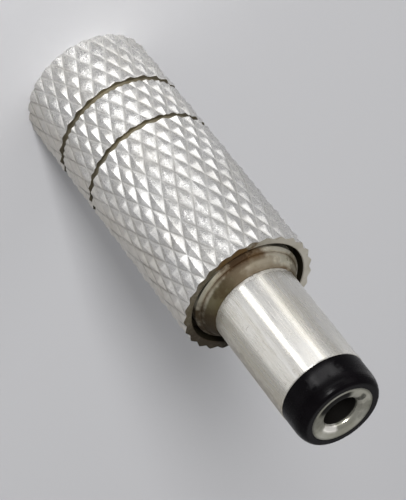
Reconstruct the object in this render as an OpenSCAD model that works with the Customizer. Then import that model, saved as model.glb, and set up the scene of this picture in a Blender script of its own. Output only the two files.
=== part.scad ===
// DC barrel plug: a screw-on knurled shell round a turned plug insert.
// The plug stands on the shell's end wall, with its axis along +Z and the nose up. Millimetres.

/* [Shell] */
// Diameter over the crests of the knurl
shell_d = 8.8; // [8.6:0.1:12]
// Length from the end wall to the mouth
shell_len = 19.8; // [18:0.1:30]
// Thickness of the end wall round the cable hole
end_wall = 1.6; // [1:0.1:2.4]
// Diameter of the cable hole
cable_hole_d = 4.4; // [3:0.1:5]
// Break of the cable hole's two edges
hole_bevel = 0.2; // [0.1:0.05:0.4]
// Bevel of the outer edge at the end wall
end_bevel = 0.1; // [0.05:0.05:0.5]
// Wall round the hollow behind the thread, under the valleys of the knurl
cavity_wall = 0.75; // [0.5:0.01:1]
// How far the thread stands inside that hollow
thread_step = 0.16; // [0.08:0.02:0.3]
// Wall of the mouth that the flange sits in, under the valleys of the knurl
mouth_wall = 0.38; // [0.2:0.02:0.6]
// Depth of the mouth, down to the seat
mouth_depth = 1.2; // [0.8:0.1:2]

/* [Knurl] */
// Number of teeth round the shell
knurl_teeth = 27; // [16:1:40]
// Length of one diamond along the shell
knurl_pitch = 2.08; // [1.4:0.02:4]
// Height of the crests over the valleys
knurl_depth = 0.2; // [0.1:0.02:0.3]

/* [Ring grooves] */
// Width of each turned groove
groove_w = 0.38; // [0.2:0.02:0.8]
// Depth of the grooves below the valleys of the knurl
groove_sink = 0.1; // [0.04:0.02:0.2]
// Centre of the lower groove, from the end wall's outside
groove_z = 4.5; // [2:0.1:8]
// Distance between the two grooves
groove_step = 3.72; // [1:0.02:8]

/* [Thread] */
// Distance from one turn to the next
thread_pitch = 0.5; // [0.35:0.05:0.75]
// Length of the threaded tail
thread_len = 4; // [3:0.5:5]
// Height of a turn of the thread
thread_depth = 0.25; // [0.15:0.01:0.3]
// Plain neck between the flange and the thread
thread_relief = 0.4; // [0.2:0.05:0.8]
// Radial gap between the tail and the shell
thread_clear = 0.04; // [0.02:0.01:0.08]

/* [Flange and barrel] */
// Gap round the flange in the shell's mouth
flange_gap = 0.32; // [0.05:0.01:0.4]
// Height of the flange above its seat
flange_h = 1.3; // [1:0.05:2.4]
// Bevel of the flange's rim
flange_bevel = 0.2; // [0.1:0.02:0.3]
// Depth of the fine line turned between the bevel and the cone
line_sink = 0.06; // [0.02:0.01:0.1]
// Height of the cone between the flange and the barrel
foot_h = 0.8; // [0.3:0.05:2]
// Step between the barrel and the top of the cone
foot_step = 0.06; // [0.04:0.02:0.2]
// Outside diameter of the barrel
barrel_d = 5.5; // [5.3:0.05:5.8]
// Wall of the barrel
barrel_wall = 0.55; // [0.3:0.05:0.6]
// Length of the plug from the cone to the tip of the nose
plug_len = 9.4; // [8:0.1:14]

/* [Nose] */
// Length of the moulded nose in front of the barrel
nose_len = 2.08; // [1.4:0.02:3]
// How far the nose stands inside the barrel's outside
nose_inset = 0.03; // [0.01:0.01:0.06]
// Length of the nose's rounded end
nose_round = 0.95; // [0.4:0.05:1.3]
// Plastic left round the rim of the contact
nose_lip = 0.28; // [0.1:0.02:0.36]

/* [Centre contact] */
// Bore of the contact
contact_bore_d = 2.2; // [2.1:0.05:2.6]
// Depth of the bore, from the tip
contact_depth = 9.4; // [7:0.1:10]
// Wall of the contact tube
contact_wall = 0.34; // [0.2:0.02:0.4]
// Diameter of the flared rim
rim_d = 4; // [3.8:0.05:4.2]
// Thickness of the rim
rim_t = 0.3; // [0.2:0.02:0.5]
// Width of the flat ring round the funnel
rim_flat = 0.4; // [0.2:0.02:0.5]
// How far the rim sits below the face of the nose
rim_sink = 0.02; // [0.01:0.01:0.1]
// Width of the two slits that let the tube spring
slit_w = 0.22; // [0.1:0.02:0.4]
// Length of the slits
slit_len = 6; // [3:0.5:6.5]
// Distance from the tip to the slits
slit_z = 1.6; // [1:0.1:2.4]
// Diameter of the stem that carries the solder tag
stem_d = 1.7; // [1.2:0.1:2]
// How far the stem's end is spread into its rivet head
rivet_spread = 0.35; // [0.2:0.05:0.4]
// Height of the rivet head
rivet_h = 0.4; // [0.2:0.05:0.8]

/* [Solder tags] */
// Thickness of the tag metal
tag_t = 0.3; // [0.2:0.05:0.4]
// Width of the tag strips
tag_w = 1.6; // [1.2:0.1:2.2]
// Diameter of the soldering holes
tag_hole_d = 0.9; // [0.6:0.05:1.1]
// Length of the centre tag, below its washer
centre_tag_len = 4.6; // [3:0.1:6]
// Height of the cable clamp
clamp_h = 2.8; // [1.5:0.1:4]
// Part of a circle that the clamp's wings reach round
clamp_angle = 230; // [180:5:270]
// Gap between the clamp and the end wall
clamp_gap = 0.9; // [0.5:0.1:2]

/* [Rear insulator and liner] */
// Wall of the bush round the stem
bush_wall = 0.65; // [0.6:0.05:0.9]
// Thickness of the bush's flange
bush_flange_t = 0.9; // [0.6:0.1:1.5]
// Wall of the spigot that the sleeve tag is riveted on
spigot_wall = 0.3; // [0.2:0.05:0.45]
// Height of the riveted lip, and how far it is spread
lip = 0.15; // [0.1:0.01:0.25]
// Wall of the insulating liner
liner_wall = 0.25; // [0.15:0.01:0.3]
// Radial gap between the liner and the shell's thread
liner_clear = 0.06; // [0.03:0.01:0.1]
// Gap at the end of the liner and round the tags in it
liner_gap = 0.1; // [0.05:0.01:0.2]
// Gap between pieces that are pushed together
seat_gap = 0.02; // [0.01:0.005:0.03]

/* [Hidden] */
$fn = 96;
eps = 0.01;

// Knurl: crests and valleys alternate on a grid that ends on both faces of the shell
crest_r = shell_d / 2;
valley_r = crest_r - knurl_depth;
knurl_cols = 2 * knurl_teeth;
knurl_rows = max(2, round(shell_len / (knurl_pitch / 2)));
knurl_row_h = shell_len / knurl_rows;

// Levels along the axis, from the end wall up
z_seat = shell_len - mouth_depth;
z_flange = z_seat + flange_h;
z_foot = z_flange + foot_h;
z_tip = z_foot + plug_len;
z_nose = z_tip - nose_len;
z_thread = z_seat - thread_relief;
z_tail = z_thread - thread_len;
z_spigot = z_tail - tag_t - lip;
z_bush = z_spigot - seat_gap;
z_centre_tag = z_bush - bush_flange_t;
z_rivet = z_centre_tag - seat_gap - tag_t;
z_step = z_thread - thread_len / 4;
z_liner = end_wall + liner_gap;
z_clamp = end_wall + clamp_gap;

// Radii that follow from the fits
cavity_r = valley_r - cavity_wall;
mouth_r = valley_r - mouth_wall;
flange_r = mouth_r - flange_gap;
thread_bore_r = cavity_r - thread_step;
tail_r = thread_bore_r - thread_clear;
barrel_bore_r = barrel_d / 2 - barrel_wall;
nose_r = barrel_d / 2 - nose_inset;
nose_tube_r = barrel_bore_r - seat_gap;
contact_r = contact_bore_d / 2 + contact_wall;
stem_r = stem_d / 2;
rivet_r = stem_r + rivet_spread;
bush_r = stem_r + seat_gap + bush_wall;
tail_bore_r = bush_r + seat_gap;
spigot_r = tail_bore_r + spigot_wall;
bush_flange_r = spigot_r + lip;
liner_r = thread_bore_r - liner_clear;
liner_bore_r = liner_r - liner_wall;
clamp_r = liner_bore_r - liner_gap;
strip_x = sqrt(pow(clamp_r, 2) - pow(tag_w / 2, 2));

// A point of a quarter ellipse from [r + a, z] at t = 0 to [r, z + b] at t = 90
function arc_point(r, z, a, b, t) = [r + a * cos(t), z + b * sin(t)];

// Radius of the knurl's grid at one column and row
function knurl_r(col, row) = (col + row) % 2 == 1 ? crest_r : valley_r;

// Place of a grid point in the list of the knurl's points
function knurl_i(col, row) = row * knurl_cols + (col % knurl_cols);

// Two triangles for one cell, split along the valley that crosses it
function knurl_cell(c, r) =
    (c + r) % 2 == 0
    ? [[knurl_i(c, r), knurl_i(c, r + 1), knurl_i(c + 1, r + 1)],
       [knurl_i(c, r), knurl_i(c + 1, r + 1), knurl_i(c + 1, r)]]
    : [[knurl_i(c, r), knurl_i(c, r + 1), knurl_i(c + 1, r)],
       [knurl_i(c, r + 1), knurl_i(c + 1, r + 1), knurl_i(c + 1, r)]];

// Solid bar with a diamond knurl over its whole length
module knurled_bar() {
    step = 360 / knurl_cols;
    ring_points = [
        for (row = [0:knurl_rows], col = [0:knurl_cols - 1])
        [knurl_r(col, row) * cos(col * step), knurl_r(col, row) * sin(col * step), row * knurl_row_h]
    ];
    end_points = [[0, 0, 0], [0, 0, shell_len]];
    low = len(ring_points);
    sides = [for (row = [0:knurl_rows - 1], col = [0:knurl_cols - 1]) each knurl_cell(col, row)];
    floor_fan = [for (col = [0:knurl_cols - 1]) [low, knurl_i(col, 0), knurl_i(col + 1, 0)]];
    top_fan = [
        for (col = [0:knurl_cols - 1])
        [low + 1, knurl_i(col + 1, knurl_rows), knurl_i(col, knurl_rows)]
    ];
    polyhedron(concat(ring_points, end_points), concat(sides, floor_fan, top_fan), convexity = 6);
}

// Cutter for one turned groove round the shell
module ring_groove(z) {
    floor_r = valley_r - groove_sink;
    translate([0, 0, z - groove_w / 2])
    rotate_extrude()
    translate([floor_r, 0])
    square([crest_r - floor_r + 1, groove_w]);
}

// Cutter for the bevel round the end wall
module end_bevel_cutter() {
    rotate_extrude()
    polygon([
        [crest_r - end_bevel - eps, -eps],
        [crest_r + 1, -eps],
        [crest_r + 1, end_bevel + 1]
    ]);
}

// Everything that is bored out of the shell, as one turned outline
module shell_bore() {
    hole_r = cable_hole_d / 2;
    rotate_extrude()
    polygon([
        [0, -1],
        [hole_r + hole_bevel + 1, -1],
        [hole_r, hole_bevel],
        [hole_r, end_wall - hole_bevel],
        [hole_r + hole_bevel, end_wall],
        [cavity_r, end_wall],
        [cavity_r, z_tail],
        [thread_bore_r, z_tail + thread_step],
        [thread_bore_r, z_seat],
        [mouth_r, z_seat],
        [mouth_r, shell_len + 1],
        [0, shell_len + 1]
    ]);
}

module knurled_shell() {
    color([0.80, 0.79, 0.77])
    difference() {
        knurled_bar();
        ring_groove(groove_z);
        ring_groove(groove_z + groove_step);
        end_bevel_cutter();
        shell_bore();
    }
}

// Barrel, cone, flange and threaded tail, turned in one piece
module barrel() {
    turns = floor(thread_len / thread_pitch);
    root_r = tail_r - thread_depth;
    cone_r = flange_r - flange_bevel;
    thread_side = [
        for (n = [0:turns - 1], side = [0:1])
        side == 0
        ? [tail_r, z_thread - thread_pitch * (n + 0.5)]
        : [root_r, z_thread - thread_pitch * (n + 1)]
    ];
    outline = concat(
        [
            [barrel_bore_r, z_step],
            [barrel_bore_r, z_nose],
            [barrel_d / 2, z_nose],
            [barrel_d / 2, z_foot],
            [barrel_d / 2 + foot_step, z_foot],
            [cone_r - line_sink, z_flange],
            [cone_r - line_sink, z_flange - line_sink],
            [cone_r, z_flange - line_sink],
            [flange_r, z_flange - line_sink - flange_bevel],
            [flange_r, z_seat],
            [root_r, z_seat],
            [root_r, z_thread]
        ],
        thread_side,
        [
            [root_r, z_tail],
            [spigot_r, z_tail],
            [spigot_r, z_tail - tag_t],
            [spigot_r + lip, z_tail - tag_t],
            [spigot_r, z_spigot],
            [tail_bore_r, z_spigot],
            [tail_bore_r, z_step]
        ]
    );
    color([0.78, 0.77, 0.74])
    rotate_extrude()
    polygon(outline);
}

// Rounded nose, with the tube that lines the barrel
module nose_insulator() {
    face_r = rim_d / 2 + seat_gap + nose_lip;
    end_z = z_tip - nose_round;
    recess_z = z_tip - rim_sink - rim_t - seat_gap;
    rounding = [for (t = [0:10:90]) arc_point(face_r, end_z, nose_r - face_r, nose_round, t)];
    color([0.05, 0.05, 0.05])
    rotate_extrude()
    polygon(concat(
        [
            [contact_r + seat_gap, z_step + seat_gap],
            [nose_tube_r, z_step + seat_gap],
            [nose_tube_r, z_nose + seat_gap],
            [nose_r, z_nose + seat_gap]
        ],
        rounding,
        [
            [rim_d / 2 + seat_gap, z_tip],
            [rim_d / 2 + seat_gap, recess_z],
            [contact_r + seat_gap, recess_z]
        ]
    ));
}

// Flared tube, its solid root and the riveted stem
module centre_contact() {
    bore_r = contact_bore_d / 2;
    top_z = z_tip - rim_sink;
    bottom_z = z_tip - contact_depth;
    funnel_w = rim_d / 2 - rim_flat - bore_r;
    funnel = [
        for (t = [0:15:90])
        [bore_r + funnel_w * (1 - sin(t)), top_z - rim_t * (1 - cos(t))]
    ];
    color([0.82, 0.81, 0.76])
    difference() {
        rotate_extrude()
        polygon(concat(
            [
                [0, z_rivet - rivet_h],
                [rivet_r - rivet_h / 2, z_rivet - rivet_h],
                [rivet_r, z_rivet - rivet_h / 2],
                [rivet_r, z_rivet],
                [stem_r, z_rivet],
                [stem_r, z_step + seat_gap],
                [contact_r, z_step + seat_gap],
                [contact_r, top_z - rim_t],
                [rim_d / 2, top_z - rim_t],
                [rim_d / 2, top_z]
            ],
            funnel,
            [[bore_r, bottom_z], [0, bottom_z - bore_r / 2]]
        ));
        for (turn = [0, 90])
        rotate([0, 0, turn])
        translate([-contact_r - 1, -slit_w / 2, z_tip - slit_z - slit_len])
        cube([2 * contact_r + 2, slit_w, slit_len]);
    }
}

// Flanged bush that keeps the two tags and the stem apart
module rear_insulator() {
    color([0.86, 0.84, 0.78])
    rotate_extrude()
    polygon([
        [stem_r + seat_gap, z_centre_tag],
        [bush_flange_r, z_centre_tag],
        [bush_flange_r, z_bush],
        [bush_r, z_bush],
        [bush_r, z_step],
        [stem_r + seat_gap, z_step]
    ]);
}

// A flat strip that hangs from z_top, on the side of x, with a soldering hole near its end
module tag_strip(x, z_top, length, hole_z) {
    translate([x, 0, 0])
    difference() {
        translate([0, -tag_w / 2, z_top - length])
        cube([tag_t, tag_w, length]);
        translate([-1, 0, hole_z])
        rotate([0, 90, 0])
        cylinder(d = tag_hole_d, h = tag_t + 2);
    }
}

// Washer under the bush's flange, with its strip bent down
module centre_tag() {
    strip_in = rivet_r + liner_gap;
    color([0.85, 0.84, 0.80])
    difference() {
        union() {
            translate([0, 0, z_rivet])
            cylinder(r = rivet_r + tag_t, h = tag_t);
            translate([0, -tag_w / 2, z_rivet])
            cube([strip_in + tag_t, tag_w, tag_t]);
            tag_strip(strip_in, z_centre_tag - seat_gap, centre_tag_len, z_rivet - centre_tag_len + tag_w);
        }
        translate([0, 0, z_rivet - 1])
        cylinder(r = stem_r + seat_gap, h = tag_t + 2);
    }
}

// Washer riveted on the barrel's tail, a strip down the liner, and the wings that clamp the cable
module sleeve_tag() {
    strip_len = z_tail - z_clamp;
    color([0.85, 0.84, 0.80])
    union() {
        difference() {
            translate([0, 0, z_tail - tag_t])
            cylinder(r = clamp_r, h = tag_t);
            translate([0, 0, z_tail - tag_t - 1])
            cylinder(r = spigot_r + seat_gap, h = tag_t + 2);
        }
        tag_strip(-strip_x, z_tail, strip_len, (z_clamp + clamp_h + z_rivet - centre_tag_len) / 2);
        translate([0, 0, z_clamp])
        rotate([0, 0, 180 - clamp_angle / 2])
        rotate_extrude(angle = clamp_angle)
        translate([clamp_r - tag_t, 0])
        square([tag_t, clamp_h]);
    }
}

// Plain tube between the tags and the shell
module insulating_liner() {
    color([0.90, 0.88, 0.80])
    translate([0, 0, z_liner])
    difference() {
        cylinder(r = liner_r, h = z_tail - tag_t - liner_gap - z_liner);
        translate([0, 0, -1])
        cylinder(r = liner_bore_r, h = z_tail);
    }
}

knurled_shell();
barrel();
nose_insulator();
centre_contact();
rear_insulator();
centre_tag();
sleeve_tag();
insulating_liner();
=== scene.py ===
"""Looks of a DC barrel plug: plated, turned and moulded pieces on a plain studio floor.

Sizes are in millimetres in the classes and are turned into metres where a mesh is made. The frame is
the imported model's: the plug stands on its end wall, and +Z runs along its axis to the nose.
"""

import logging
import math
from collections.abc import Sequence
from dataclasses import dataclass
from enum import Enum
from functools import cached_property
from typing import Any, Optional

import bpy
import numpy as np
from mathutils import Matrix, Vector


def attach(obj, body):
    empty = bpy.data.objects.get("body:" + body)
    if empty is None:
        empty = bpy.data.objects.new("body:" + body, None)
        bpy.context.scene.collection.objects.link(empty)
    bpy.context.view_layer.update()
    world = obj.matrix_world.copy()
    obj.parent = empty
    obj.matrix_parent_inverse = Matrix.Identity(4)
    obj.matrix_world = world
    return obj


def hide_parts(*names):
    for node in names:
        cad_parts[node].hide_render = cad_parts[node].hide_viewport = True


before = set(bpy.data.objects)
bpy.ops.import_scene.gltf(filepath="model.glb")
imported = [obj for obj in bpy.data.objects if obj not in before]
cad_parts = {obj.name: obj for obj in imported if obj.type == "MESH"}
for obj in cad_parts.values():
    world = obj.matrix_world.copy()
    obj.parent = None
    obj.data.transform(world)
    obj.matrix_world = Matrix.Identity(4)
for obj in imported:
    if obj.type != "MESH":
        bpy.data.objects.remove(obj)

MM = 0.001
TURN = 2 * math.pi
# Angle from +X of the side that the camera faces, in degrees
FRONT = -93.3
# Edges that bend by more than this many degrees stay sharp
SHARP_EDGE = 28.0
# Below and beyond every point of the plug, in millimetres
UNDER, BEYOND = -10.0, 90.0
# The colour sockets of Blender's Mix node, by number
MIX_FIRST, MIX_SECOND, MIX_RESULT = 6, 7, 2
# How far a grain turns to run along the plug, as a part of a full turn
LENGTHWISE = 0.25
LOG = logging.getLogger("dc_plug")

Colour = tuple[float, float, float]
Scale = tuple[float, float, float]
Ring = tuple["float | np.ndarray", "float | np.ndarray", int]


class Body(Enum):
    """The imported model's moving bodies."""

    SHELL = "shell"
    LINER = "liner"
    INSERT = "plug_insert"


class Grain(Enum):
    """Which way the fine marks of a finish run: how often they repeat along X, Y and Z in a millimetre."""

    TURNED = (0.35, 0.35, 26.0)
    DRAWN = (14.0, 14.0, 0.6)
    EVEN = (9.0, 9.0, 9.0)


# ---------------------------------------------------------------- shader maths


class Field:
    """A value that varies over a surface: a node socket with Python's arithmetic."""

    def __init__(self, graph: "Graph", socket: bpy.types.NodeSocket) -> None:
        """Wraps one output socket of a graph."""
        self.graph = graph
        self.socket = socket

    def math(self, operation: str, *others: "Field | float") -> "Field":
        """Adds a Math node that works on this value.

        Args:
            operation: The Math node's operation.
            others: The node's second and third values.

        Returns:
            The node's result.
        """
        inputs = dict(enumerate((self, *others)))
        return self.graph.node("ShaderNodeMath", {"operation": operation}, inputs)

    def __add__(self, other: "Field | float") -> "Field":
        """Sum."""
        return self.math("ADD", other)

    __radd__ = __add__

    def __sub__(self, other: "Field | float") -> "Field":
        """Difference."""
        return self.math("SUBTRACT", other)

    def __rsub__(self, other: float) -> "Field":
        """Difference from a plain number."""
        return self.math("MULTIPLY_ADD", -1.0, other)

    def __mul__(self, other: "Field | float") -> "Field":
        """Product."""
        return self.math("MULTIPLY", other)

    __rmul__ = __mul__

    def __truediv__(self, other: "Field | float") -> "Field":
        """Quotient."""
        return self.math("DIVIDE", other)

    def __pow__(self, other: float) -> "Field":
        """Power."""
        return self.math("POWER", other)

    def __abs__(self) -> "Field":
        """Distance from zero."""
        return self.math("ABSOLUTE")

    def either(self, other: "Field | float") -> "Field":
        """The larger of two values."""
        return self.math("MAXIMUM", other)

    def step(self, low: float, high: float) -> "Field":
        """A smooth step.

        Args:
            low: The value at which the step starts at 0.
            high: The value at which it has reached 1. It may be below low, and the step then falls.

        Returns:
            The step, between 0 and 1.
        """
        ends = (0.0, 1.0) if high >= low else (1.0, 0.0)
        settings = {"interpolation_type": "SMOOTHSTEP"}
        inputs = {"Value": self, "From Min": min(low, high), "From Max": max(low, high)}
        inputs |= {"To Min": ends[0], "To Max": ends[1]}
        return self.graph.node("ShaderNodeMapRange", settings, inputs)

    def bell(self, middle: float, half_width: float) -> "Field":
        """A soft bump that is 1 at the middle and 0 from half_width away."""
        return abs(self - middle).step(half_width, 0.0)


@dataclass(frozen=True)
class Spot:
    """A point on a piece's surface, in millimetres in the piece's own frame."""

    x: Field
    y: Field
    z: Field

    @cached_property
    def radius(self) -> Field:
        """Distance from the plug's axis."""
        return (self.x * self.x + self.y * self.y) ** 0.5

    def facing(self, angle: float) -> Field:
        """Cosine of the angle between this point and a direction round the axis, in degrees from +X."""
        turn = math.radians(angle)
        return (self.x * math.cos(turn) + self.y * math.sin(turn)) / self.radius

    def sector(self, angle: float, inner: float, outer: float, ragged: Field | float = 0.0) -> Field:
        """A soft sector round the axis.

        Args:
            angle: The sector's middle, in degrees from +X.
            inner: Degrees from the middle up to which it is full.
            outer: Degrees from the middle from which it is empty.
            ragged: What is added to the cosine, to make the edge uneven.

        Returns:
            The sector, between 0 and 1.
        """
        empty, full = (math.cos(math.radians(degrees)) for degrees in (outer, inner))
        return (self.facing(angle) + ragged).step(empty, full)


class Graph:
    """The nodes of one material or world."""

    def __init__(self, owner: bpy.types.Material | bpy.types.World) -> None:
        """Empties the owner's node tree, ready for new nodes."""
        owner.use_nodes = True
        self.owner = owner
        self.tree = owner.node_tree
        self.tree.nodes.clear()

    def add(self, kind: str, settings: dict[str, Any], inputs: dict[Any, Any]) -> bpy.types.Node:
        """Adds a node.

        Args:
            kind: The node's type name.
            settings: Its settings, which are set before its sockets.
            inputs: Values, fields or sockets by the name or the number of the input.

        Returns:
            The node.
        """
        node = self.tree.nodes.new(kind)
        for name, value in settings.items():
            setattr(node, name, value)
        for key, value in inputs.items():
            link = value.socket if isinstance(value, Field) else value
            if isinstance(link, bpy.types.NodeSocket):
                self.tree.links.new(link, node.inputs[key])
            else:
                node.inputs[key].default_value = link
        return node

    def node(
        self, kind: str, settings: dict[str, Any], inputs: dict[Any, Any], output: int | str = 0
    ) -> Field:
        """Adds a node and returns one of its outputs as a field."""
        return Field(self, self.add(kind, settings, inputs).outputs[output])

    def spot(self) -> Spot:
        """The surface point."""
        coordinates = self.add("ShaderNodeTexCoord", {}, {})
        parts = self.add("ShaderNodeSeparateXYZ", {}, {0: coordinates.outputs["Object"]})
        return Spot(*(Field(self, socket) * (1 / MM) for socket in parts.outputs))

    def noise(
        self, values: Sequence[Field | float], scale: Sequence[float], detail: float = 2.0, rough: float = 0.5
    ) -> Field:
        """Fractal noise.

        Args:
            values: Three values in millimetres.
            scale: How often the noise repeats in a millimetre along each of them.
            detail: How many finer layers it has.
            rough: How strong those layers are.

        Returns:
            The noise, between 0 and 1 and mostly near 0.5.
        """
        placed = {n: value * often for n, (value, often) in enumerate(zip(values, scale))}
        where = self.node("ShaderNodeCombineXYZ", {}, placed)
        inputs = {"Vector": where, "Scale": 1.0, "Detail": detail, "Roughness": rough}
        return self.node("ShaderNodeTexNoise", {"noise_dimensions": "3D"}, inputs, "Fac")

    def grain(self, spot: Spot, scale: Sequence[float], detail: float = 2.0, rough: float = 0.5) -> Field:
        """Fractal noise along a spot's X, Y and Z."""
        return self.noise((spot.x, spot.y, spot.z), scale, detail, rough)

    def blend(self, share: Field | float, first: Any, second: Any) -> Field:
        """A colour that is the first where share is 0 and the second where it is 1."""
        colours = [(*c, 1.0) if isinstance(c, tuple) else c for c in (first, second)]
        settings = {"data_type": "RGBA", "blend_type": "MIX"}
        inputs = {0: share, MIX_FIRST: colours[0], MIX_SECOND: colours[1]}
        return self.node("ShaderNodeMix", settings, inputs, MIX_RESULT)

    def bump(self, height: Field, depth: float) -> Field:
        """Normals bent by a height between 0 and 1, which stands for depth in millimetres."""
        return self.node("ShaderNodeBump", {}, {"Strength": 1.0, "Distance": depth * MM, "Height": height})

    def surface(self, inputs: dict[str, Any]) -> bpy.types.Material:
        """Ends the graph in one Principled shader with these inputs."""
        shader = self.add("ShaderNodeBsdfPrincipled", {}, inputs)
        self.add("ShaderNodeOutputMaterial", {}, {"Surface": shader.outputs[0]})
        return self.owner


# -------------------------------------------------------------------- finishes


def new_graph(name: str) -> Graph:
    """A graph for a new material."""
    return Graph(bpy.data.materials.new(name))


@dataclass(frozen=True)
class Mottle:
    """Soft patches of noise over a surface.

    Attributes:
        scale: How often the noise repeats in a millimetre along X, Y and Z.
        low: The noise at which a patch starts.
        high: The noise at which it is full. It may be below low.
        detail: How many finer layers the noise has.
        rough: How strong those layers are.
    """

    scale: Scale
    low: float
    high: float
    detail: float = 4.0
    rough: float = 0.6

    def over(self, graph: Graph, spot: Spot) -> Field:
        """The patches at a spot, between 0 and 1."""
        return graph.grain(spot, self.scale, self.detail, self.rough).step(self.low, self.high)


@dataclass(frozen=True)
class StainShadeGlint:
    """A patch on one side of a piece: real staining, painted shade or a painted highlight, as each use notes.

    Attributes:
        angle: Its middle, in degrees from the camera's side.
        inner: Degrees from the middle up to which it is full.
        outer: Degrees from the middle from which it is empty.
        share: How much it covers at most.
        low_z: The height at which it starts.
        high_z: The height at which it ends.
        ragged: How uneven its edges are.
        flecks: How much it thins out in places.
        within: The radius up to which it reaches.
        soft: Half the height over which its lower and upper ends fade.
        colour: Its colour, or None for the colour in the piece's dirt field.
        thin_places: Where it thins out.
        edge_scale: How often the noise of its edges repeats in a millimetre.
        rim_soft: Half the width over which it fades at the radius within.
        body: How strong it is where nothing thins it: above 1 fills the middle evenly.
        lift: How far its fade is stretched at both ends, so that it starts and stops gently.
    """

    angle: float
    inner: float
    outer: float
    share: float
    low_z: float = UNDER
    high_z: float = BEYOND
    ragged: float = 0.30
    flecks: float = 0.45
    within: float = BEYOND
    soft: float = 0.3
    colour: Optional[Colour] = None
    thin_places: Mottle = Mottle((2.6, 2.6, 2.6), 0.70, 0.30, 5.0, 0.65)
    edge_scale: Scale = (1.6, 1.6, 1.6)
    rim_soft: float = 0.06
    body: float = 1.2
    lift: float = 0.1

    def mask(self, graph: Graph, spot: Spot) -> Field:
        """How much the stain covers at a spot, between 0 and 1."""
        edge = graph.grain(spot, self.edge_scale, 4.0, 0.6)
        thin = self.thin_places.over(graph, spot) * self.flecks
        sector = spot.sector(FRONT + self.angle, self.inner, self.outer, (edge - 0.5) * self.ragged)
        above = spot.z.step(self.low_z - self.soft, self.low_z + self.soft)
        below = spot.z.step(self.high_z + self.soft, self.high_z - self.soft)
        inside = spot.radius.step(self.within + self.rim_soft, self.within - self.rim_soft)
        whole = sector * above * below * inside * (self.body - thin)
        return whole.step(-self.lift, 1.0 + self.lift) * self.share


@dataclass(frozen=True)
class Plate:
    """Metal with a plated or tarnished skin, fine marks and specks of grit; subclasses and patches add
    painted shade and painted highlights where noted.

    Attributes:
        name: The material's name.
        colour: The clean plate.
        tarnish_and_shade: The plate where it is hazy or marked, and the colour that painted shade on one side
            blends to.
        dirt_and_shade: The colour of the specks, of the painted shade that subclasses add, and of each patch
            without a colour of its own.
        grain: Which way the fine marks run.
        grain_depth: Their depth in millimetres.
        roughness: The mean roughness of the clean plate.
        roughness_swing: How much the marks change it.
        anisotropy: How much the gloss is drawn out along the plug.
        cloud_share: How strong the tarnished clouds are.
        mark_share: How strongly the marks are tarnished.
        speck_share: How strongly the specks cover.
        stains_and_shade: Dark patches: real staining, and painted shade where noted.
        glint_colour: The colour of the painted highlights.
        shine_patches: Painted highlights: patches painted in that bright colour.
        specular: The specular level of what isn't metal.
        haze_roughness: What the tarnished clouds, and the streaks and painted shade of some subclasses, add
            to the roughness.
        soil_roughness: What the specks, the dark patches and the painted shade add to it.
        clouds: Where the tarnished clouds lie.
        specks: Where the specks lie.
    """

    name: str
    colour: Colour = (0.80, 0.78, 0.75)
    tarnish_and_shade: Colour = (0.52, 0.48, 0.41)
    dirt_and_shade: Colour = (0.075, 0.055, 0.032)
    grain: Grain = Grain.TURNED
    grain_depth: float = 0.002
    roughness: float = 0.30
    roughness_swing: float = 0.12
    anisotropy: float = 0.0
    cloud_share: float = 0.22
    mark_share: float = 0.15
    speck_share: float = 0.35
    stains_and_shade: tuple[StainShadeGlint, ...] = ()
    glint_colour: Colour = (0.92, 0.89, 0.82)
    shine_patches: tuple[StainShadeGlint, ...] = ()
    specular: float = 0.12
    haze_roughness: float = 0.12
    soil_roughness: float = 0.35
    clouds: Mottle = Mottle((0.55, 0.55, 0.4), 0.35, 0.75)
    specks: Mottle = Mottle((2.6, 2.6, 2.6), 0.60, 0.74, rough=0.65)

    def haze_and_shade(self, graph: Graph, spot: Spot) -> Field:
        """Where the skin is tarnished, between 0 and 1. Subclasses add painted shade."""
        return self.clouds.over(graph, spot) * self.cloud_share

    def soil_and_shade(self, graph: Graph, spot: Spot) -> Field:
        """Where specks of grit cover the skin, between 0 and 1. Subclasses add painted shade."""
        return self.specks.over(graph, spot) * self.speck_share

    def relief(self, graph: Graph, spot: Spot, marks: Field) -> Field:
        """Height of the fine marks, between 0 and 1."""
        return marks

    def make(self) -> bpy.types.Material:
        """Builds the material."""
        graph = new_graph(self.name)
        spot = graph.spot()
        marks = graph.grain(spot, self.grain.value, 3.0, 0.6)
        soil_and_shade = self.soil_and_shade(graph, spot)
        haze_and_shade = self.haze_and_shade(graph, spot)
        # The plate blends to its tarnished colour in the clouds, and in painted shade on one side where a
        # subclass adds it
        colour = graph.blend(haze_and_shade, self.colour, self.tarnish_and_shade)
        colour = graph.blend(marks.step(0.45, 0.8) * self.mark_share, colour, self.tarnish_and_shade)
        # Painted highlights: patches painted in a bright colour
        for patch in self.shine_patches:
            colour = graph.blend(patch.mask(graph, spot), colour, self.glint_colour)
        # Specks of grit, and the painted shade that subclasses add, blend to the dark colour
        colour = graph.blend(soil_and_shade, colour, self.dirt_and_shade)
        # Dark patches: real staining, and painted shade where noted
        for dark_patch in self.stains_and_shade:
            mask = dark_patch.mask(graph, spot)
            colour = graph.blend(mask, colour, dark_patch.colour or self.dirt_and_shade)
            soil_and_shade = soil_and_shade.either(mask)
        smoothest = self.roughness - self.roughness_swing / 2
        rough = marks.step(0.25, 0.75) * self.roughness_swing + smoothest
        return graph.surface(
            {
                "Base Color": colour,
                "Metallic": 1.0 - soil_and_shade,
                "Roughness": rough + haze_and_shade * self.haze_roughness + soil_and_shade * self.soil_roughness,
                "Specular IOR Level": self.specular,
                "Anisotropic": self.anisotropy,
                "Anisotropic Rotation": LENGTHWISE,
                "Normal": graph.bump(self.relief(graph, spot, marks), self.grain_depth),
            }
        )


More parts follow.
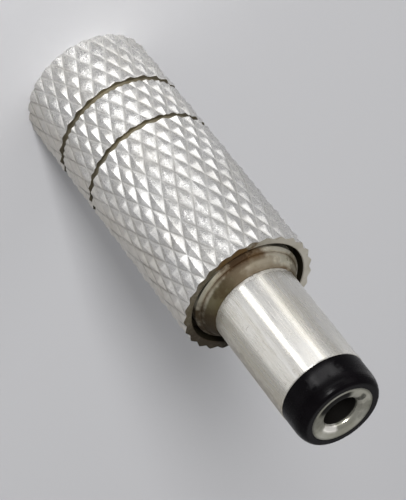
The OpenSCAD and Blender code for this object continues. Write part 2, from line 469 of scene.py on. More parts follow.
@dataclass(frozen=True)
class KnurlPlate(Plate):
    """The shell's plate: darker in the valleys with grit and painted shade, with painted shade along the
    grooves' edges and on one side, bare on the crests and scuffed where it is gripped.

    Attributes:
        valley_radius: Radius of the knurl's valleys.
        crest_radius: Radius of its crests.
        valley_reach: How far up the darkening goes from the valleys, as a part of the knurl's depth.
        valley_share: How strong the darkening in the valleys is at most: grit with painted shade.
        least_grime_and_shade: The part of it that the lightest valleys keep.
        groove_middles: Heights of the two grooves.
        groove_reach: How far the painted shade goes above and below a groove's middle.
        groove_share: How strong that painted shade is.
        shaded_side: The middle of the side painted duller and darker as shade, in degrees from the camera's
            side.
        shaded_span: Degrees from that middle within which it is full, and beyond which there is none.
        shaded_share: How strong that painted shade is.
        gripped_side: The middle of the scuffs, in degrees from the camera's side.
        gripped_span: Degrees from that middle, as for the duller skin.
        grain_share: How high the plating's own grain stands beside the scuffs.
        darker_valleys: Which of the valleys are darkest.
        ragged: Which parts of the grooves' edges are darkest.
    """

    valley_radius: float = 4.20
    crest_radius: float = 4.40
    valley_reach: float = 0.28
    valley_share: float = 0.6
    least_grime_and_shade: float = 0.15
    groove_middles: tuple[float, ...] = (4.5, 8.22)
    groove_reach: float = 0.34
    groove_share: float = 0.8
    shaded_side: float = 95.0
    shaded_span: tuple[float, float] = (20.0, 62.0)
    shaded_share: float = 0.45
    gripped_side: float = -4.0
    gripped_span: tuple[float, float] = (7.0, 24.0)
    grain_share: float = 0.6
    darker_valleys: Mottle = Mottle((0.8, 0.8, 0.5), 0.32, 0.62)
    ragged: Mottle = Mottle((1.4, 1.4, 1.4), 0.42, 0.62, rough=0.65)

    def haze_and_shade(self, graph: Graph, spot: Spot) -> Field:
        """Clouds, and a duller, darker skin on one side, which is painted shade."""
        uneven = (graph.grain(spot, (0.9, 0.9, 0.5), 3.0) - 0.5) * 0.4
        painted_shade_side = spot.sector(FRONT + self.shaded_side, *self.shaded_span, uneven)
        return super().haze_and_shade(graph, spot) + painted_shade_side * self.shaded_share

    def soil_and_shade(self, graph: Graph, spot: Spot) -> Field:
        """Specks, grit with painted shade in some of the valleys, and painted shade along the grooves' edges.
        """
        depth = self.crest_radius - self.valley_radius
        low = spot.radius.step(self.valley_radius + self.valley_reach * depth, self.valley_radius)
        patches = self.darker_valleys.over(graph, spot) * (1.0 - self.least_grime_and_shade) + self.least_grime_and_shade
        grime_and_shade = low * patches * self.valley_share
        ragged = self.ragged.over(graph, spot)
        # Painted shade along both edges of each groove
        for middle in self.groove_middles:
            grime_and_shade = grime_and_shade.either(spot.z.bell(middle, self.groove_reach) * ragged * self.groove_share)
        return super().soil_and_shade(graph, spot).either(grime_and_shade)

    def relief(self, graph: Graph, spot: Spot, marks: Field) -> Field:
        """Plating grain, and crossed scuffs on the gripped side."""
        rising, falling = spot.x + spot.z * 0.8, spot.x - spot.z * 0.55
        first = graph.noise((rising, falling, spot.y), (15.0, 0.9, 1.5), 3.0, 0.6).step(0.45, 0.62)
        second = graph.noise((falling, rising, spot.y), (17.0, 1.1, 1.5), 3.0, 0.6).step(0.47, 0.62)
        gripped = spot.sector(FRONT + self.gripped_side, *self.gripped_span)
        return marks * self.grain_share + (first + second) * gripped


@dataclass(frozen=True)
class BarrelPlate(Plate):
    """The barrel's bright plate, streaked along its length, with painted shade at its foot, a thin darker
    line under the nose and painted shade on one side.

    Attributes:
        low_z: Height of the barrel's foot.
        high_z: Height of its upper end.
        foot_reach: How far the painted shade goes up from the foot.
        skin: The radii between which a point counts as the barrel's outside.
        collar: How far below the upper end the darker line starts, and where it is full.
        collar_share: How strong that line is beside the foot's painted shade.
        line_share: How strong both are.
        streak_share: How strong the tarnished streaks are.
        shaded_side: The middle of the side painted duller and darker as shade, in degrees from the camera's
            side.
        shaded_span: Degrees from that middle within which it is full, and beyond which there is none.
        shaded_share: How strong that painted shade is.
        streaks: Where the streaks lie.
        uneven: Where the foot's painted shade and the line under the nose are strongest.
    """

    low_z: float = 20.7
    high_z: float = 28.02
    foot_reach: float = 0.30
    skin: tuple[float, float] = (2.6, 2.7)
    collar: tuple[float, float] = (0.07, 0.01)
    collar_share: float = 0.5
    line_share: float = 0.8
    streak_share: float = 0.35
    shaded_side: float = 80.0
    shaded_span: tuple[float, float] = (10.0, 62.0)
    shaded_share: float = 0.55
    streaks: Mottle = Mottle((2.2, 2.2, 0.10), 0.42, 0.70, rough=0.65)
    uneven: Mottle = Mottle((1.6, 1.6, 1.6), 0.35, 0.62)

    def haze_and_shade(self, graph: Graph, spot: Spot) -> Field:
        """Clouds, streaks along the barrel, and a duller, darker skin on one side, which is painted shade."""
        streaks = self.streaks.over(graph, spot) * self.streak_share
        painted_shade_side = spot.sector(FRONT + self.shaded_side, *self.shaded_span) * self.shaded_share
        return super().haze_and_shade(graph, spot) + streaks + painted_shade_side

    def soil_and_shade(self, graph: Graph, spot: Spot) -> Field:
        """Specks, painted shade where the barrel meets the cone, and a thin darker line under the nose."""
        # Painted shade in the corner at the barrel's foot
        foot = spot.z.step(self.low_z + self.foot_reach, self.low_z) * spot.radius.step(*self.skin)
        # A thin darker line just under the nose
        starts, full = (self.high_z - below for below in self.collar)
        collar = spot.z.step(starts, full) * self.collar_share
        lines = foot.either(collar) * self.uneven.over(graph, spot) * self.line_share
        return super().soil_and_shade(graph, spot).either(lines)


@dataclass(frozen=True)
class FlangePlate(Plate):
    """The flange's and the cone's plate, with painted shade in the line between them and at the barrel's
    foot.

    Attributes:
        line_radius: Radius of the fine line between the bevel and the cone.
        line_width: How far its painted shade goes to both sides.
        line_share: How strong that painted shade is.
        foot_radius: Radius of the barrel's foot.
        foot_width: How far its painted shade goes outwards.
        foot_share: How strong that painted shade is.
        least_line_shade: The part of the painted shade that the lightest places keep.
        uneven: Where the two rings are darkest.
    """

    line_radius: float = 3.27
    line_width: float = 0.15
    line_share: float = 0.9
    foot_radius: float = 2.81
    foot_width: float = 0.24
    foot_share: float = 0.95
    least_line_shade: float = 0.4
    uneven: Mottle = Mottle((1.2, 1.2, 1.2), 0.25, 0.60)

    def soil_and_shade(self, graph: Graph, spot: Spot) -> Field:
        """Specks, and painted shade in the two rings."""
        uneven = self.uneven.over(graph, spot) * (1.0 - self.least_line_shade) + self.least_line_shade
        # Painted shade in the fine line and at the barrel's foot
        line = spot.radius.bell(self.line_radius, self.line_width) * self.line_share
        foot = spot.radius.step(self.foot_radius + self.foot_width, self.foot_radius) * self.foot_share
        return super().soil_and_shade(graph, spot).either(line.either(foot) * uneven)


@dataclass(frozen=True)
class ContactPlate(Plate):
    """The contact's tin, with a painted highlight on the funnel and painted shade down the bore."""

    rim_z: float = 30.08
    ring_radii: tuple[float, float] = (1.82, 1.98)
    ring_share: float = 0.45
    shade_starts: float = 0.24
    shade_full: float = 0.38

    def soil_and_shade(self, graph: Graph, spot: Spot) -> Field:
        """Specks, a dirty ring round the rim, and painted shade that darkens the bore with depth."""
        ring = spot.radius.step(*self.ring_radii) * self.ring_share
        # Painted shade: the bore darkens with depth below the rim
        bore_shade = spot.z.step(self.rim_z - self.shade_starts, self.rim_z - self.shade_full)
        return super().soil_and_shade(graph, spot).either(ring).either(bore_shade)


@dataclass(frozen=True)
class Moulding:
    """Moulded plastic: a plain colour with a faint skin texture.

    Attributes:
        name: The material's name.
        colour: The plastic's colour.
        shade: Its colour in cloudy and dusty places.
        roughness: The mean roughness.
        texture_depth: Depth of the skin's texture in millimetres.
        specular: The specular level.
        shine_patches: Patches with a gloss of their own.
        polish_roughness: How rough that gloss is.
        cloud_roughness: How much the clouds change the roughness.
        skin_roughness: What the skin's texture adds to it.
        dust_roughness: What dust adds to it.
        dust: Where dust lies.
    """

    name: str
    colour: Colour
    shade: Colour
    roughness: float = 0.25
    texture_depth: float = 0.004
    specular: float = 0.5
    shine_patches: tuple[StainShadeGlint, ...] = ()
    polish_roughness: float = 0.26
    cloud_roughness: float = 0.14
    skin_roughness: float = 0.1
    dust_roughness: float = 0.2
    dust: Mottle = Mottle((5.0, 5.0, 5.0), 0.66, 0.76, rough=0.7)

    def make(self) -> bpy.types.Material:
        """Builds the material."""
        graph = new_graph(self.name)
        spot = graph.spot()
        cloud = graph.grain(spot, (0.8, 0.8, 0.8), 4.0, 0.55)
        skin = graph.grain(spot, (7.0, 7.0, 7.0), 3.0, 0.5)
        dust = self.dust.over(graph, spot)
        gloss: Field | float = 0.0
        for patch in self.shine_patches:
            gloss = patch.mask(graph, spot).either(gloss)
        rough = cloud * self.cloud_roughness + skin.step(0.55, 0.8) * self.skin_roughness
        rough = rough + dust * self.dust_roughness
        return graph.surface(
            {
                "Base Color": graph.blend((cloud.step(0.35, 0.7) + dust) * 0.5, self.colour, self.shade),
                "Roughness": rough + (self.roughness - self.cloud_roughness / 2),
                "Specular IOR Level": self.specular,
                "Coat Weight": gloss,
                "Coat Roughness": self.polish_roughness,
                "Normal": graph.bump(skin, self.texture_depth),
            }
        )


@dataclass(frozen=True)
class FloorPaint:
    """The plain pale floor."""

    name: str = "floor_paper"
    colour: Colour = (0.530, 0.530, 0.545)

    def make(self) -> bpy.types.Material:
        """Builds the material."""
        graph = new_graph(self.name)
        return graph.surface({"Base Color": (*self.colour, 1.0), "Roughness": 0.9, "Specular IOR Level": 0.1})


# ------------------------------------------------------------------ mesh tools


def wave(phase: np.ndarray) -> np.ndarray:
    """A triangle wave: 0 at whole numbers and 1 half-way between them."""
    return 1.0 - np.abs(2.0 * (phase - np.floor(phase)) - 1.0)


def soft_min(first: np.ndarray, second: "np.ndarray | float", sharpness: float) -> np.ndarray:
    """The lower of two heights, rounded where they meet."""
    return -np.log(np.exp(-sharpness * first) + np.exp(-sharpness * second)) / sharpness


def turned(
    name: str, rings: Sequence[Ring], columns: int, finishes: Sequence[bpy.types.Material]
) -> bpy.types.Object:
    """Turns a closed profile about the Z axis.

    Args:
        name: The piece's name.
        rings: Radius, height and finish of each ring: up the outside, in over the top, down the bore and
            out below. A radius or height may be one number or one for each column. The finish is that of
            the band to the next ring.
        columns: How many points a ring has.
        finishes: The materials that the rings number.

    Returns:
        The new object.
    """
    angles = np.arange(columns) * TURN / columns
    points: list[np.ndarray] = []
    radii: list[np.ndarray] = []
    for radius, height, _ in rings:
        r = np.broadcast_to(np.asarray(radius, float), (columns,))
        z = np.broadcast_to(np.asarray(height, float), (columns,))
        points.append(np.stack([r * np.cos(angles), r * np.sin(angles), z], axis=1) * MM)
        radii.append(r)
    faces: list[list[int]] = []
    slots: list[int] = []
    around = np.roll(np.arange(columns), -1)
    for low, (_, _, slot) in enumerate(rings):
        high = (low + 1) % len(rings)
        a, b = low * columns, high * columns
        # Each four-sided patch is split along its lower diagonal, so that the valleys stay clean
        down_first = radii[low] + radii[high][around] <= radii[low][around] + radii[high]
        for j, k in enumerate(around.tolist()):
            if down_first[j]:
                faces += [[a + j, a + k, b + k], [a + j, b + k, b + j]]
            else:
                faces += [[a + j, a + k, b + j], [a + k, b + k, b + j]]
        slots += [slot] * 2 * columns
    mesh = bpy.data.meshes.new(name)
    mesh.from_pydata(np.concatenate(points).tolist(), [], faces)
    for material in finishes:
        mesh.materials.append(material)
    mesh.polygons.foreach_set("material_index", slots)
    mesh.polygons.foreach_set("use_smooth", [True] * len(faces))
    mesh.set_sharp_from_angle(angle=math.radians(SHARP_EDGE))
    mesh.validate()
    mesh.update()
    piece = bpy.data.objects.new(name, mesh)
    bpy.context.scene.collection.objects.link(piece)
    return piece


def stand_for(piece: bpy.types.Object, node: str, body: Body) -> None:
    """Puts a piece in the place of a CAD node.

    Args:
        piece: The finished piece.
        node: The CAD node that it stands for.
        body: The body that it rides on.
    """
    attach(piece, body.value)
    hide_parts(node)
    LOG.info("%s: %d faces on %s", piece.name, len(piece.data.polygons), body.value)


def dress(node: str, material: bpy.types.Material) -> None:
    """Gives a CAD node's mesh one material."""
    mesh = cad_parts[node].data
    mesh.materials.clear()
    mesh.materials.append(material)
    LOG.info("%s: dressed with %s", node, material.name)


# ----------------------------------------------------------------- the pieces


@dataclass
class KnurledShell:
    """The shell: a diamond knurl outside, two turned grooves, and a threaded hollow.

    Attributes:
        crest_cap: How much of the knurl's depth its crests keep.
        rubbed_cap: How much they keep in the middle of the rubbed band.
        rubbed_side: The band's middle, in degrees from the camera's side.
        rubbed_width: The band's half width in degrees.
        uneven: How much the ridges differ in height from one another.
        crossing: How sharply two ridges meet.
        cap_edge: How sharply a crest is cut off.
        fineness: How many rings and columns a half diamond has.
        groove_lean: How far a groove's walls lean along the shell.
        mouth_relief: Plain width and height between the seat and the thread.
        turn_rings: How many rings a turn of the thread has.
        seed: Sets the ridges' heights.
        plate: Finish of the knurl.
        face: Finish of the mouth's rim and the end wall.
        groove: Finish of the grooves, painted darker as shade.
        bore: Finish of the hollow, painted near black as shade.
    """

    crest_radius: float = 4.4
    length: float = 19.8
    end_wall: float = 1.6
    hole_radius: float = 2.2
    hole_bevel: float = 0.2
    end_bevel: float = 0.1
    cavity_radius: float = 3.45
    thread_radius: float = 3.29
    mouth_radius: float = 3.82
    mouth_depth: float = 1.2
    teeth: int = 27
    knurl_rows: int = 19
    knurl_depth: float = 0.2
    crest_cap: float = 0.95
    rubbed_cap: float = 0.60
    rubbed_side: float = -4.0
    rubbed_width: float = 11.0
    uneven: float = 0.07
    crossing: float = 26.0
    cap_edge: float = 30.0
    fineness: int = 6
    groove_middles: tuple[float, float] = (4.5, 8.22)
    groove_width: float = 0.38
    groove_sink: float = 0.1
    groove_lean: float = 0.02
    mouth_bevel: float = 0.05
    mouth_relief: float = 0.1
    thread_pitch: float = 0.5
    thread_depth: float = 0.12
    thread_low: float = 14.36
    turn_rings: int = 8
    seed: int = 7
    plate: Plate = KnurlPlate(
        "shell_nickel",
        colour=(0.62, 0.615, 0.60),
        dirt_and_shade=(0.030, 0.026, 0.020),
        grain=Grain.EVEN,
        grain_depth=0.0045,
        roughness=0.28,
    )
    face: Plate = Plate(
        "shell_face",
        colour=(0.44, 0.415, 0.36),
        tarnish_and_shade=(0.27, 0.24, 0.16),
        dirt_and_shade=(0.052, 0.042, 0.024),
        roughness=0.42,
        cloud_share=0.5,
        stains_and_shade=(
            StainShadeGlint(55.0, 74.0, 92.0, 0.97),
            # Staining with painted shade: near black on the side away from the key lamp
            StainShadeGlint(112.0, 24.0, 50.0, 1.0, colour=(0.026, 0.020, 0.013)),
            StainShadeGlint(-10.0, 7.0, 22.0, 1.0, ragged=0.25, flecks=0.3, colour=(0.070, 0.040, 0.014)),
        ),
    )
    # Dark brass, painted darker as shade in the grooves; its two patches are painted shade where the grooves
    # turn away at the sides
    groove: Plate = Plate(
        "groove_brass_shaded",
        colour=(0.20, 0.18, 0.13),
        tarnish_and_shade=(0.12, 0.10, 0.06),
        dirt_and_shade=(0.025, 0.020, 0.013),
        roughness=0.5,
        cloud_share=0.8,
        stains_and_shade=(StainShadeGlint(85.0, 20.0, 60.0, 0.7), StainShadeGlint(-85.0, 25.0, 50.0, 0.6)),
    )
    # Dark brass painted near black: painted shade inside the hollow and on the mouth's inner wall
    bore: Plate = Plate(
        "shell_bore",
        colour=(0.05, 0.042, 0.027),
        tarnish_and_shade=(0.03, 0.025, 0.015),
        dirt_and_shade=(0.01, 0.008, 0.005),
        roughness=0.6,
    )

    def knurl(self, height: float, columns: int) -> np.ndarray:
        """Radius of the knurled skin at one height, all the way round.

        Args:
            height: The height above the end wall's outside, in millimetres.
            columns: How many points the ring has.

        Returns:
            The radius at each point.
        """
        rng = np.random.default_rng(self.seed)
        wear = rng.normal(1.0, self.uneven, (2, self.teeth))
        angle = np.arange(columns) / columns
        column = angle * 2 * self.teeth
        row = height / (self.length / self.knurl_rows)
        first, second = (column + row) / 2, (column - row) / 2
        scale = [
            wear[n][np.floor(phase + 0.5).astype(int) % self.teeth]
            for n, phase in enumerate((first, second))
        ]
        rise = soft_min(wave(first) * scale[0], wave(second) * scale[1], self.crossing)
        off_band = (angle * 360.0 - FRONT + (180.0 - self.rubbed_side)) % 360.0 - 180.0
        rubbed = np.exp(-((off_band / self.rubbed_width) ** 2))
        cap = self.crest_cap + (self.rubbed_cap - self.crest_cap) * rubbed
        rise = soft_min(rise, cap, self.cap_edge)
        valley = self.crest_radius - self.knurl_depth
        skin = valley + self.knurl_depth * np.clip(rise, 0.0, 1.0)
        return np.minimum(skin, self.crest_radius - self.end_bevel + height)

    def skin_rings(self, columns: int) -> list[Ring]:
        """Rings of the knurled skin and its grooves, from the end wall to the mouth."""
        step = self.length / self.knurl_rows / self.fineness
        levels = {round(n * step, 5): 0 for n in range(self.knurl_rows * self.fineness + 1)}
        levels[round(self.end_bevel, 5)] = 0
        half = self.groove_width / 2
        edges = [(middle - half, middle + half) for middle in self.groove_middles]
        rings: list[Ring] = []
        floor_radius = self.crest_radius - self.knurl_depth - self.groove_sink
        margin = step / 4
        for low, high in edges:
            levels = {z: 0 for z in levels if not low - margin < z < high + margin}
        for z in sorted(levels):
            for low, high in edges:
                if rings and rings[-1][1] < low < z:
                    rings += [
                        (self.knurl(low, columns), low, 1),
                        (floor_radius, low + self.groove_lean, 1),
                        (floor_radius, high - self.groove_lean, 1),
                        (self.knurl(high, columns), high, 0),
                    ]
            rings.append((self.knurl(z, columns), z, 0))
        return rings

    def bore_rings(self, columns: int) -> list[Ring]:
        """Rings of the mouth, the thread, the hollow and the cable hole, from the top down."""
        seat = self.length - self.mouth_depth
        run_out = self.cavity_radius - self.thread_radius
        angle = np.arange(columns) / columns
        rings: list[Ring] = [
            (self.mouth_radius + self.mouth_bevel, self.length, 2),
            (self.mouth_radius, self.length - self.mouth_bevel, 3),
            (self.mouth_radius, seat, 3),
            (self.thread_radius + self.mouth_relief, seat, 3),
        ]
        step = self.thread_pitch / self.turn_rings
        for z in np.arange(seat - self.mouth_relief, self.thread_low, -step):
            cut = wave(z / self.thread_pitch - angle) * self.thread_depth
            rings.append((self.thread_radius + cut, float(z), 3))
        rings += [
            (self.thread_radius, self.thread_low, 3),
            (self.cavity_radius, self.thread_low - run_out, 3),
            (self.cavity_radius, self.end_wall, 3),
            (self.hole_radius + self.hole_bevel, self.end_wall, 3),
            (self.hole_radius, self.end_wall - self.hole_bevel, 3),
            (self.hole_radius, self.hole_bevel, 2),
            (self.hole_radius + self.hole_bevel, 0.0, 2),
        ]
        return rings

    def build(self) -> None:
        """Builds the shell and puts it in the CAD node's place."""
        columns = 2 * self.teeth * self.fineness
        skin = self.skin_rings(columns)
        skin[-1] = (skin[-1][0], skin[-1][1], 2)
        rings = skin + self.bore_rings(columns)
        finishes = [self.plate.make(), self.groove.make(), self.face.make(), self.bore.make()]
        piece = turned("shell_knurled", rings, columns, finishes)
        stand_for(piece, "knurled_shell", Body.SHELL)


@dataclass
class PlugInsert:
    """The turned barrel with its thread, the nose, the centre contact and the soldering end.

    Attributes:
        thread_depth: Height of a turn of the thread.
        turn_rings: How many rings a turn has.
        tooth_gain: How steep a tooth's sides are.
        tooth_root: The width of the flat root, which the gain is worked out with.
        run_in: Over how many rings the thread rises at its lower end.
        run_out: Over how many rings it falls at its upper end.
        line_sink: Depth of the fine line turned between the flange's bevel and the cone.
        foot_step: Step between the barrel and the top of the cone.
        foot_edge: Height of that step.
        lip: How far the riveted end is spread.
        tag_thickness: Thickness of the tag under it.
        columns: How many points a ring has.
    """

    tail_radius: float = 3.25
    thread_depth: float = 0.25
    thread_pitch: float = 0.5
    thread_top: float = 18.2
    thread_low: float = 14.2
    turn_rings: int = 12
    tooth_gain: float = 1.35
    tooth_root: float = 0.15
    run_in: int = 10
    run_out: int = 8
    seat: float = 18.6
    flange_top: float = 19.9
    flange_radius: float = 3.5
    flange_bevel: float = 0.2
    line_sink: float = 0.06
    foot_top: float = 20.7
    foot_step: float = 0.06
    foot_edge: float = 0.01
    barrel_radius: float = 2.75
    barrel_bore: float = 2.2
    barrel_top: float = 28.02
    end_bevel: float = 0.05
    step_height: float = 17.2
    spigot_radius: float = 1.84
    spigot_low: float = 13.75
    tail_bore: float = 1.54
    lip: float = 0.15
    tag_thickness: float = 0.3
    columns: int = 160
    barrel_plate: Plate = BarrelPlate(
        "barrel_nickel",
        colour=(0.69, 0.68, 0.65),
        tarnish_and_shade=(0.56, 0.52, 0.42),
        grain=Grain.DRAWN,
        grain_depth=0.0012,
        roughness=0.22,
        anisotropy=0.6,
        # Painted shade: a darker patch down one side of the barrel, for the shade it reflects
        stains_and_shade=(StainShadeGlint(88.0, 10.0, 32.0, 0.4, flecks=0.2, colour=(0.13, 0.11, 0.08)),),
    )
    flange_plate: Plate = FlangePlate(
        "flange_nickel",
        colour=(0.58, 0.55, 0.46),
        tarnish_and_shade=(0.27, 0.25, 0.14),
        dirt_and_shade=(0.050, 0.026, 0.008),
        roughness=0.36,
        cloud_share=0.5,
        speck_share=0.6,
        stains_and_shade=(
            # A darker olive tone over the cone on the camera's side: tarnished plate with painted shade
            StainShadeGlint(40.0, 42.0, 62.0, 0.95, 20.05, flecks=0.2, soft=0.12, colour=(0.056, 0.047, 0.022)),
            # Staining with painted shade: near black on the side away from the key lamp
            StainShadeGlint(97.0, 30.0, 58.0, 1.0, ragged=0.2, colour=(0.030, 0.021, 0.011)),
            StainShadeGlint(-92.0, 8.0, 24.0, 0.85, colour=(0.045, 0.034, 0.018)),
            StainShadeGlint(-15.0, 8.0, 40.0, 0.95, high_z=20.15, ragged=0.25, flecks=0.3, soft=0.12),
            StainShadeGlint(-13.0, 2.0, 18.0, 0.9, high_z=20.2, flecks=0.2, soft=0.12, colour=(0.026, 0.012, 0.003)),
            StainShadeGlint(8.0, 4.0, 26.0, 0.9, low_z=20.0, flecks=0.3, soft=0.15, colour=(0.036, 0.025, 0.011)),
            StainShadeGlint(-24.0, 14.0, 44.0, 0.8, low_z=20.0, flecks=0.25, soft=0.15, colour=(0.085, 0.064, 0.040)),
        ),
    )
    thread_plate: Plate = Plate("thread_nickel", colour=(0.68, 0.65, 0.58), roughness=0.34)
    nose: Moulding = Moulding(
        "nose_black",
        (0.0012, 0.0009, 0.0013),
        (0.004, 0.0032, 0.004),
        0.26,
        specular=0.035,
        shine_patches=(StainShadeGlint(-12.0, 7.0, 26.0, 0.5, 28.4, 29.2, flecks=0.2),),
    )
    contact: Plate = ContactPlate(
        "contact_tin",
        colour=(0.32, 0.315, 0.27),
        tarnish_and_shade=(0.17, 0.165, 0.11),
        dirt_and_shade=(0.003, 0.0025, 0.002),
        roughness=0.34,
        cloud_share=0.7,
        stains_and_shade=(
            StainShadeGlint(-2.0, 26.0, 52.0, 1.0, 29.4, ragged=0.1, flecks=0.1, within=1.82),
            StainShadeGlint(-82.0, 4.0, 12.0, 0.85, 29.93, 30.3, ragged=0.1, within=1.72, soft=0.03),
            StainShadeGlint(60.0, 10.0, 40.0, 0.45, 29.9, ragged=0.5, soft=0.1),
            StainShadeGlint(-130.0, 6.0, 30.0, 0.35, 29.9, ragged=0.6, soft=0.1),
        ),
        # Painted highlight: a bright cream patch on the funnel
        shine_patches=(StainShadeGlint(118.0, 14.0, 30.0, 1.0, 29.74, 30.06, ragged=0.2, flecks=0.1, soft=0.03),),
    )
    bush: Moulding = Moulding("bush_cream", (0.66, 0.62, 0.50), (0.58, 0.53, 0.41), 0.5)
    tin: Plate = Plate("tag_tin", colour=(0.72, 0.72, 0.69), grain=Grain.EVEN, roughness=0.38)

    def thread_rings(self) -> list[Ring]:
        """Rings of the right-hand thread, from the bottom up."""
        angle = np.arange(self.columns) / self.columns
        root = self.tail_radius - self.thread_depth
        steps = self.turn_rings * round((self.thread_top - self.thread_low) / self.thread_pitch)
        rings: list[Ring] = []
        for n in range(steps + 1):
            z = self.thread_low + (self.thread_top - self.thread_low) * n / steps
            tooth = wave(z / self.thread_pitch - angle) * self.tooth_gain - self.tooth_root
            tooth = np.clip(tooth, 0.0, 1.0)
            fade = min(1.0, (n + 2) / self.run_in, (steps - n + 1) / self.run_out)
            rings.append((root + self.thread_depth * tooth * fade, z, 2))
        return rings

    def barrel_rings(self) -> list[Ring]:
        """Rings of the barrel, from the spigot up the outside and back down the bore."""
        root = self.tail_radius - self.thread_depth
        cone = self.flange_radius - self.flange_bevel
        line_z = self.flange_top - self.line_sink
        low_tag = self.thread_low - self.tag_thickness
        rings: list[Ring] = [
            (self.tail_bore, self.spigot_low, 1),
            (self.spigot_radius, self.spigot_low, 1),
            (self.spigot_radius + self.lip, low_tag, 1),
            (self.spigot_radius, low_tag, 1),
            (self.spigot_radius, self.thread_low, 1),
        ]
        rings += self.thread_rings()
        rings += [
            (root, self.seat, 1),
            (self.flange_radius, self.seat, 1),
            (self.flange_radius, line_z - self.flange_bevel, 1),
            (cone, line_z, 1),
            (cone - self.line_sink, line_z, 1),
            (cone - self.line_sink, self.flange_top, 1),
            (self.barrel_radius + self.foot_step, self.foot_top, 1),
            (self.barrel_radius, self.foot_top + self.foot_edge, 0),
            (self.barrel_radius, self.barrel_top - self.end_bevel, 0),
            (self.barrel_radius - self.end_bevel, self.barrel_top, 0),
            (self.barrel_bore, self.barrel_top, 0),
            (self.barrel_bore, self.step_height, 0),
            (self.tail_bore, self.step_height, 0),
        ]
        return rings

    def build(self) -> None:
        """Builds the barrel and dresses the rest of the insert."""
        finishes = [self.barrel_plate.make(), self.flange_plate.make(), self.thread_plate.make()]
        piece = turned("barrel_turned", self.barrel_rings(), self.columns, finishes)
        stand_for(piece, "barrel", Body.INSERT)
        dress("nose_insulator", self.nose.make())
        dress("centre_contact", self.contact.make())
        dress("rear_insulator", self.bush.make())
        tin = self.tin.make()
        dress("centre_tag", tin)
        dress("sleeve_tag", tin)


@dataclass
class Liner:
    """The insulating tube in the shell."""

    finish: Moulding = Moulding("liner_film", (0.74, 0.70, 0.58), (0.66, 0.61, 0.48), 0.45)

    def build(self) -> None:
        """Dresses the liner."""
        dress("insulating_liner", self.finish.make())


# ------------------------------------------------------------------ the studio


def direction(azimuth: float, elevation: float = 0.0) -> Vector:
    """A unit vector: azimuth is in degrees from the camera's side, positive towards +X."""
    turn, lift = math.radians(FRONT + azimuth), math.radians(elevation)
    return Vector((math.cos(turn) * math.cos(lift), math.sin(turn) * math.cos(lift), math.sin(lift)))


def soft_lamp(
    name: str, size: tuple[float, float], strength: float, spread: float = 180.0, is_round: bool = False
) -> bpy.types.Object:
    """Makes a soft lamp that the camera doesn't see.

    Args:
        name: The lamp's name.
        size: Its width and height, in metres.
        strength: How bright it looks with a full spread: 1 is white.
        spread: The angle that it shines into, in degrees. A narrower one gathers the same light.
        is_round: Whether it is an ellipse and not a rectangle.

    Returns:
        The lamp, still to be placed.
    """
    data = bpy.data.lights.new(name, "AREA")
    data.shape = "ELLIPSE" if is_round else "RECTANGLE"
    data.size, data.size_y = size
    area = size[0] * size[1] * (math.pi / 4 if is_round else 1.0)
    data.energy = strength * math.pi * area
    data.spread = math.radians(spread)
    lamp = bpy.data.objects.new(name, data)
    lamp.visible_camera = False
    bpy.context.scene.collection.objects.link(lamp)
    return lamp


def place(lamp: bpy.types.Object, spot: Vector, out: Vector) -> None:
    """Puts a lamp at a spot in metres and turns its back to a direction."""
    lamp.location = spot
    lamp.rotation_mode = "QUATERNION"
    lamp.rotation_quaternion = out.to_track_quat("Z", "Y")


@dataclass(frozen=True)
class Softbox:
    """One soft lamp, placed round the plug and aimed at it. Lengths are in metres."""

    name: str
    azimuth: float
    elevation: float
    distance: float
    width: float
    height: float
    strength: float
    spread: float = 180.0

    def build(self, aim: Vector) -> None:
        """Makes the lamp.

        Args:
            aim: The point that it faces, in metres.
        """
        out = direction(self.azimuth, self.elevation)
        lamp = soft_lamp(self.name, (self.width, self.height), self.strength, self.spread)
        place(lamp, aim + out * self.distance, out)


@dataclass(frozen=True)
class CardRow:
    """Low bright cards on an arc before the plug, standing on the floor. Lengths are in millimetres."""

    name: str
    distance: float
    top: float
    strength: float
    first: float = -88.0
    last: float = 28.0
    cards: int = 5
    spread: float = 60.0

    def build(self, aim: Vector) -> None:
        """Makes the cards. They face the plug's axis, whatever the aim."""
        step = (self.last - self.first) / self.cards
        width = 2 * self.distance * math.tan(math.radians(step / 2))
        size = width * MM, self.top * MM
        for n in range(self.cards):
            out = direction(self.first + (n + 0.5) * step)
            lamp = soft_lamp(f"{self.name}_{n}", size, self.strength, self.spread)
            place(lamp, (out * self.distance + Vector((0.0, 0.0, self.top / 2))) * MM, out)


@dataclass(frozen=True)
class FlatPanel:
    """A soft panel that lies on the floor and shines up at the plug. Lengths are in millimetres."""

    name: str
    azimuth: float
    near: float
    far: float
    width: float
    strength: float
    is_round: bool = False
    height: float = 0.5

    def build(self, aim: Vector) -> None:
        """Makes the panel. It faces up, whatever the aim."""
        size = self.width * MM, (self.far - self.near) * MM
        lamp = soft_lamp(self.name, size, self.strength, is_round=self.is_round)
        middle = direction(self.azimuth) * (self.near + self.far) / 2
        lamp.location = (middle + Vector((0.0, 0.0, self.height))) * MM
        lamp.rotation_euler = (math.pi, 0.0, math.radians(FRONT + self.azimuth + 90.0))


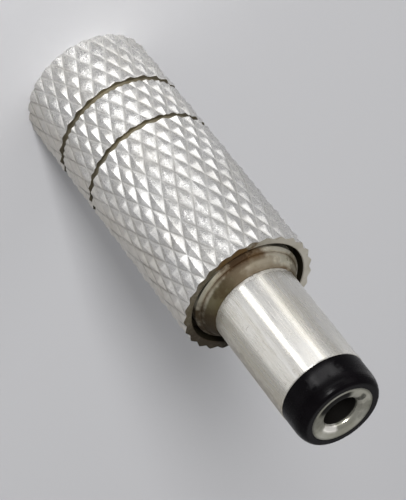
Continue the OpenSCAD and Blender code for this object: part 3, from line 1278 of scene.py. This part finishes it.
@dataclass(frozen=True)
class Studio:
    """Camera, floor, lamps and surrounding light.

    Attributes:
        aim_side: How far beside the axis the camera looks, in millimetres.
        aim_height: How high it looks, in millimetres.
        elevation: How far it stands above the level of its aim, in degrees.
        distance: How far from its aim it stands, in millimetres.
        roll: How far it is turned about its own axis, in degrees.
        lens: Its focal length in millimetres.
        sensor: Width of its sensor in millimetres.
        clip: The nearest and the farthest that it sees, in metres.
        floor_half: Half the floor's side, in metres.
        ambient: The room's even light.
        backdrop: The colour that the camera, metal and glass see round the floor.
        lamps: Every lamp.
    """

    aim_side: float = 0.536
    aim_height: float = 15.355
    elevation: float = 34.884
    distance: float = 134.89
    roll: float = 142.2
    lens: float = 162.32
    sensor: float = 36.0
    clip: tuple[float, float] = (0.01, 10.0)
    floor_half: float = 2.0
    ambient: float = 0.36
    backdrop: Colour = (0.533, 0.533, 0.548)
    lamps: tuple[Softbox | CardRow | FlatPanel, ...] = (
        Softbox("key_soft", -10.0, 33.0, 0.6, 0.10, 0.26, 5.3, 60.0),
        Softbox("side_soft", -62.0, 24.0, 0.6, 0.24, 0.30, 1.8),
        Softbox("low_soft", -28.0, 6.0, 0.6, 0.66, 0.12, 4.2),
        Softbox("back_soft", 178.0, 36.0, 0.7, 0.50, 0.30, 0.5),
        CardRow("cards_13", 13.0, 1.3, 0.20),
        CardRow("cards_18", 18.0, 1.8, 0.40),
        CardRow("cards_25", 25.0, 5.0, 0.48),
        FlatPanel("band_strip", -1.0, 11.5, 18.5, 4.0, 2.0),
        FlatPanel("front_strip", 4.0, 20.0, 62.0, 7.0, 3.0),
        FlatPanel("side_strip", -44.0, 28.0, 62.0, 9.0, 0.9),
        FlatPanel("fill_strip", 46.0, 28.0, 62.0, 40.0, 0.5),
        FlatPanel("far_glow", -28.0, 48.0, 190.0, 190.0, 1.3, True),
        FlatPanel("far_side", -122.0, 55.0, 130.0, 70.0, 1.0),
    )

    @property
    def aim(self) -> Vector:
        """The point that the camera and the lamps face, in metres."""
        return (direction(90.0) * self.aim_side + Vector((0.0, 0.0, self.aim_height))) * MM

    def build_camera(self) -> None:
        """Sets up the camera: level with the horizon first, then rolled about its own axis."""
        back = direction(0.0, self.elevation)
        data = bpy.data.cameras.new("camera")
        data.lens = self.lens
        data.sensor_width = self.sensor
        data.clip_start, data.clip_end = self.clip
        camera = bpy.data.objects.new("camera", data)
        level = back.to_track_quat("Z", "Y").to_matrix()
        rotation = level @ Matrix.Rotation(math.radians(self.roll), 3, "Z")
        camera.matrix_world = rotation.to_4x4()
        camera.location = self.aim + back * self.distance * MM
        bpy.context.scene.collection.objects.link(camera)
        bpy.context.scene.camera = camera

    def build_floor(self) -> None:
        """Lays the floor under the plug."""
        half = self.floor_half
        mesh = bpy.data.meshes.new("floor")
        corners = [(-half, -half, 0.0), (half, -half, 0.0), (half, half, 0.0), (-half, half, 0.0)]
        mesh.from_pydata(corners, [], [(0, 1, 2, 3)])
        mesh.materials.append(FloorPaint().make())
        floor = bpy.data.objects.new("floor", mesh)
        bpy.context.scene.collection.objects.link(floor)

    def build_world(self) -> None:
        """Gives the room its even light, and its backdrop colour to the camera, to metal and to glass."""
        world = bpy.data.worlds.new("room")
        graph = Graph(world)
        path = graph.add("ShaderNodeLightPath", {}, {})
        rays = ("Is Camera Ray", "Is Glossy Ray", "Is Transmission Ray")
        seen, mirrored, through = (Field(graph, path.outputs[name]) for name in rays)
        level = (self.ambient,) * 3
        colour = graph.blend(seen.either(mirrored).either(through), level, self.backdrop)
        light = graph.add("ShaderNodeBackground", {}, {"Color": colour, "Strength": 1.0})
        graph.add("ShaderNodeOutputWorld", {}, {"Surface": light.outputs[0]})
        bpy.context.scene.world = world

    def build(self) -> None:
        """Builds the studio."""
        bpy.context.scene.view_settings.view_transform = "Standard"
        self.build_camera()
        self.build_floor()
        self.build_world()
        for lamp in self.lamps:
            lamp.build(self.aim)
        LOG.info("studio: %d lamps", len(self.lamps))


def main() -> None:
    """Builds every piece, then the studio."""
    logging.basicConfig(level=logging.INFO, format="%(name)s: %(message)s")
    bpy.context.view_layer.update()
    KnurledShell().build()
    PlugInsert().build()
    Liner().build()
    Studio().build()


if __name__ == "__main__":
    main()
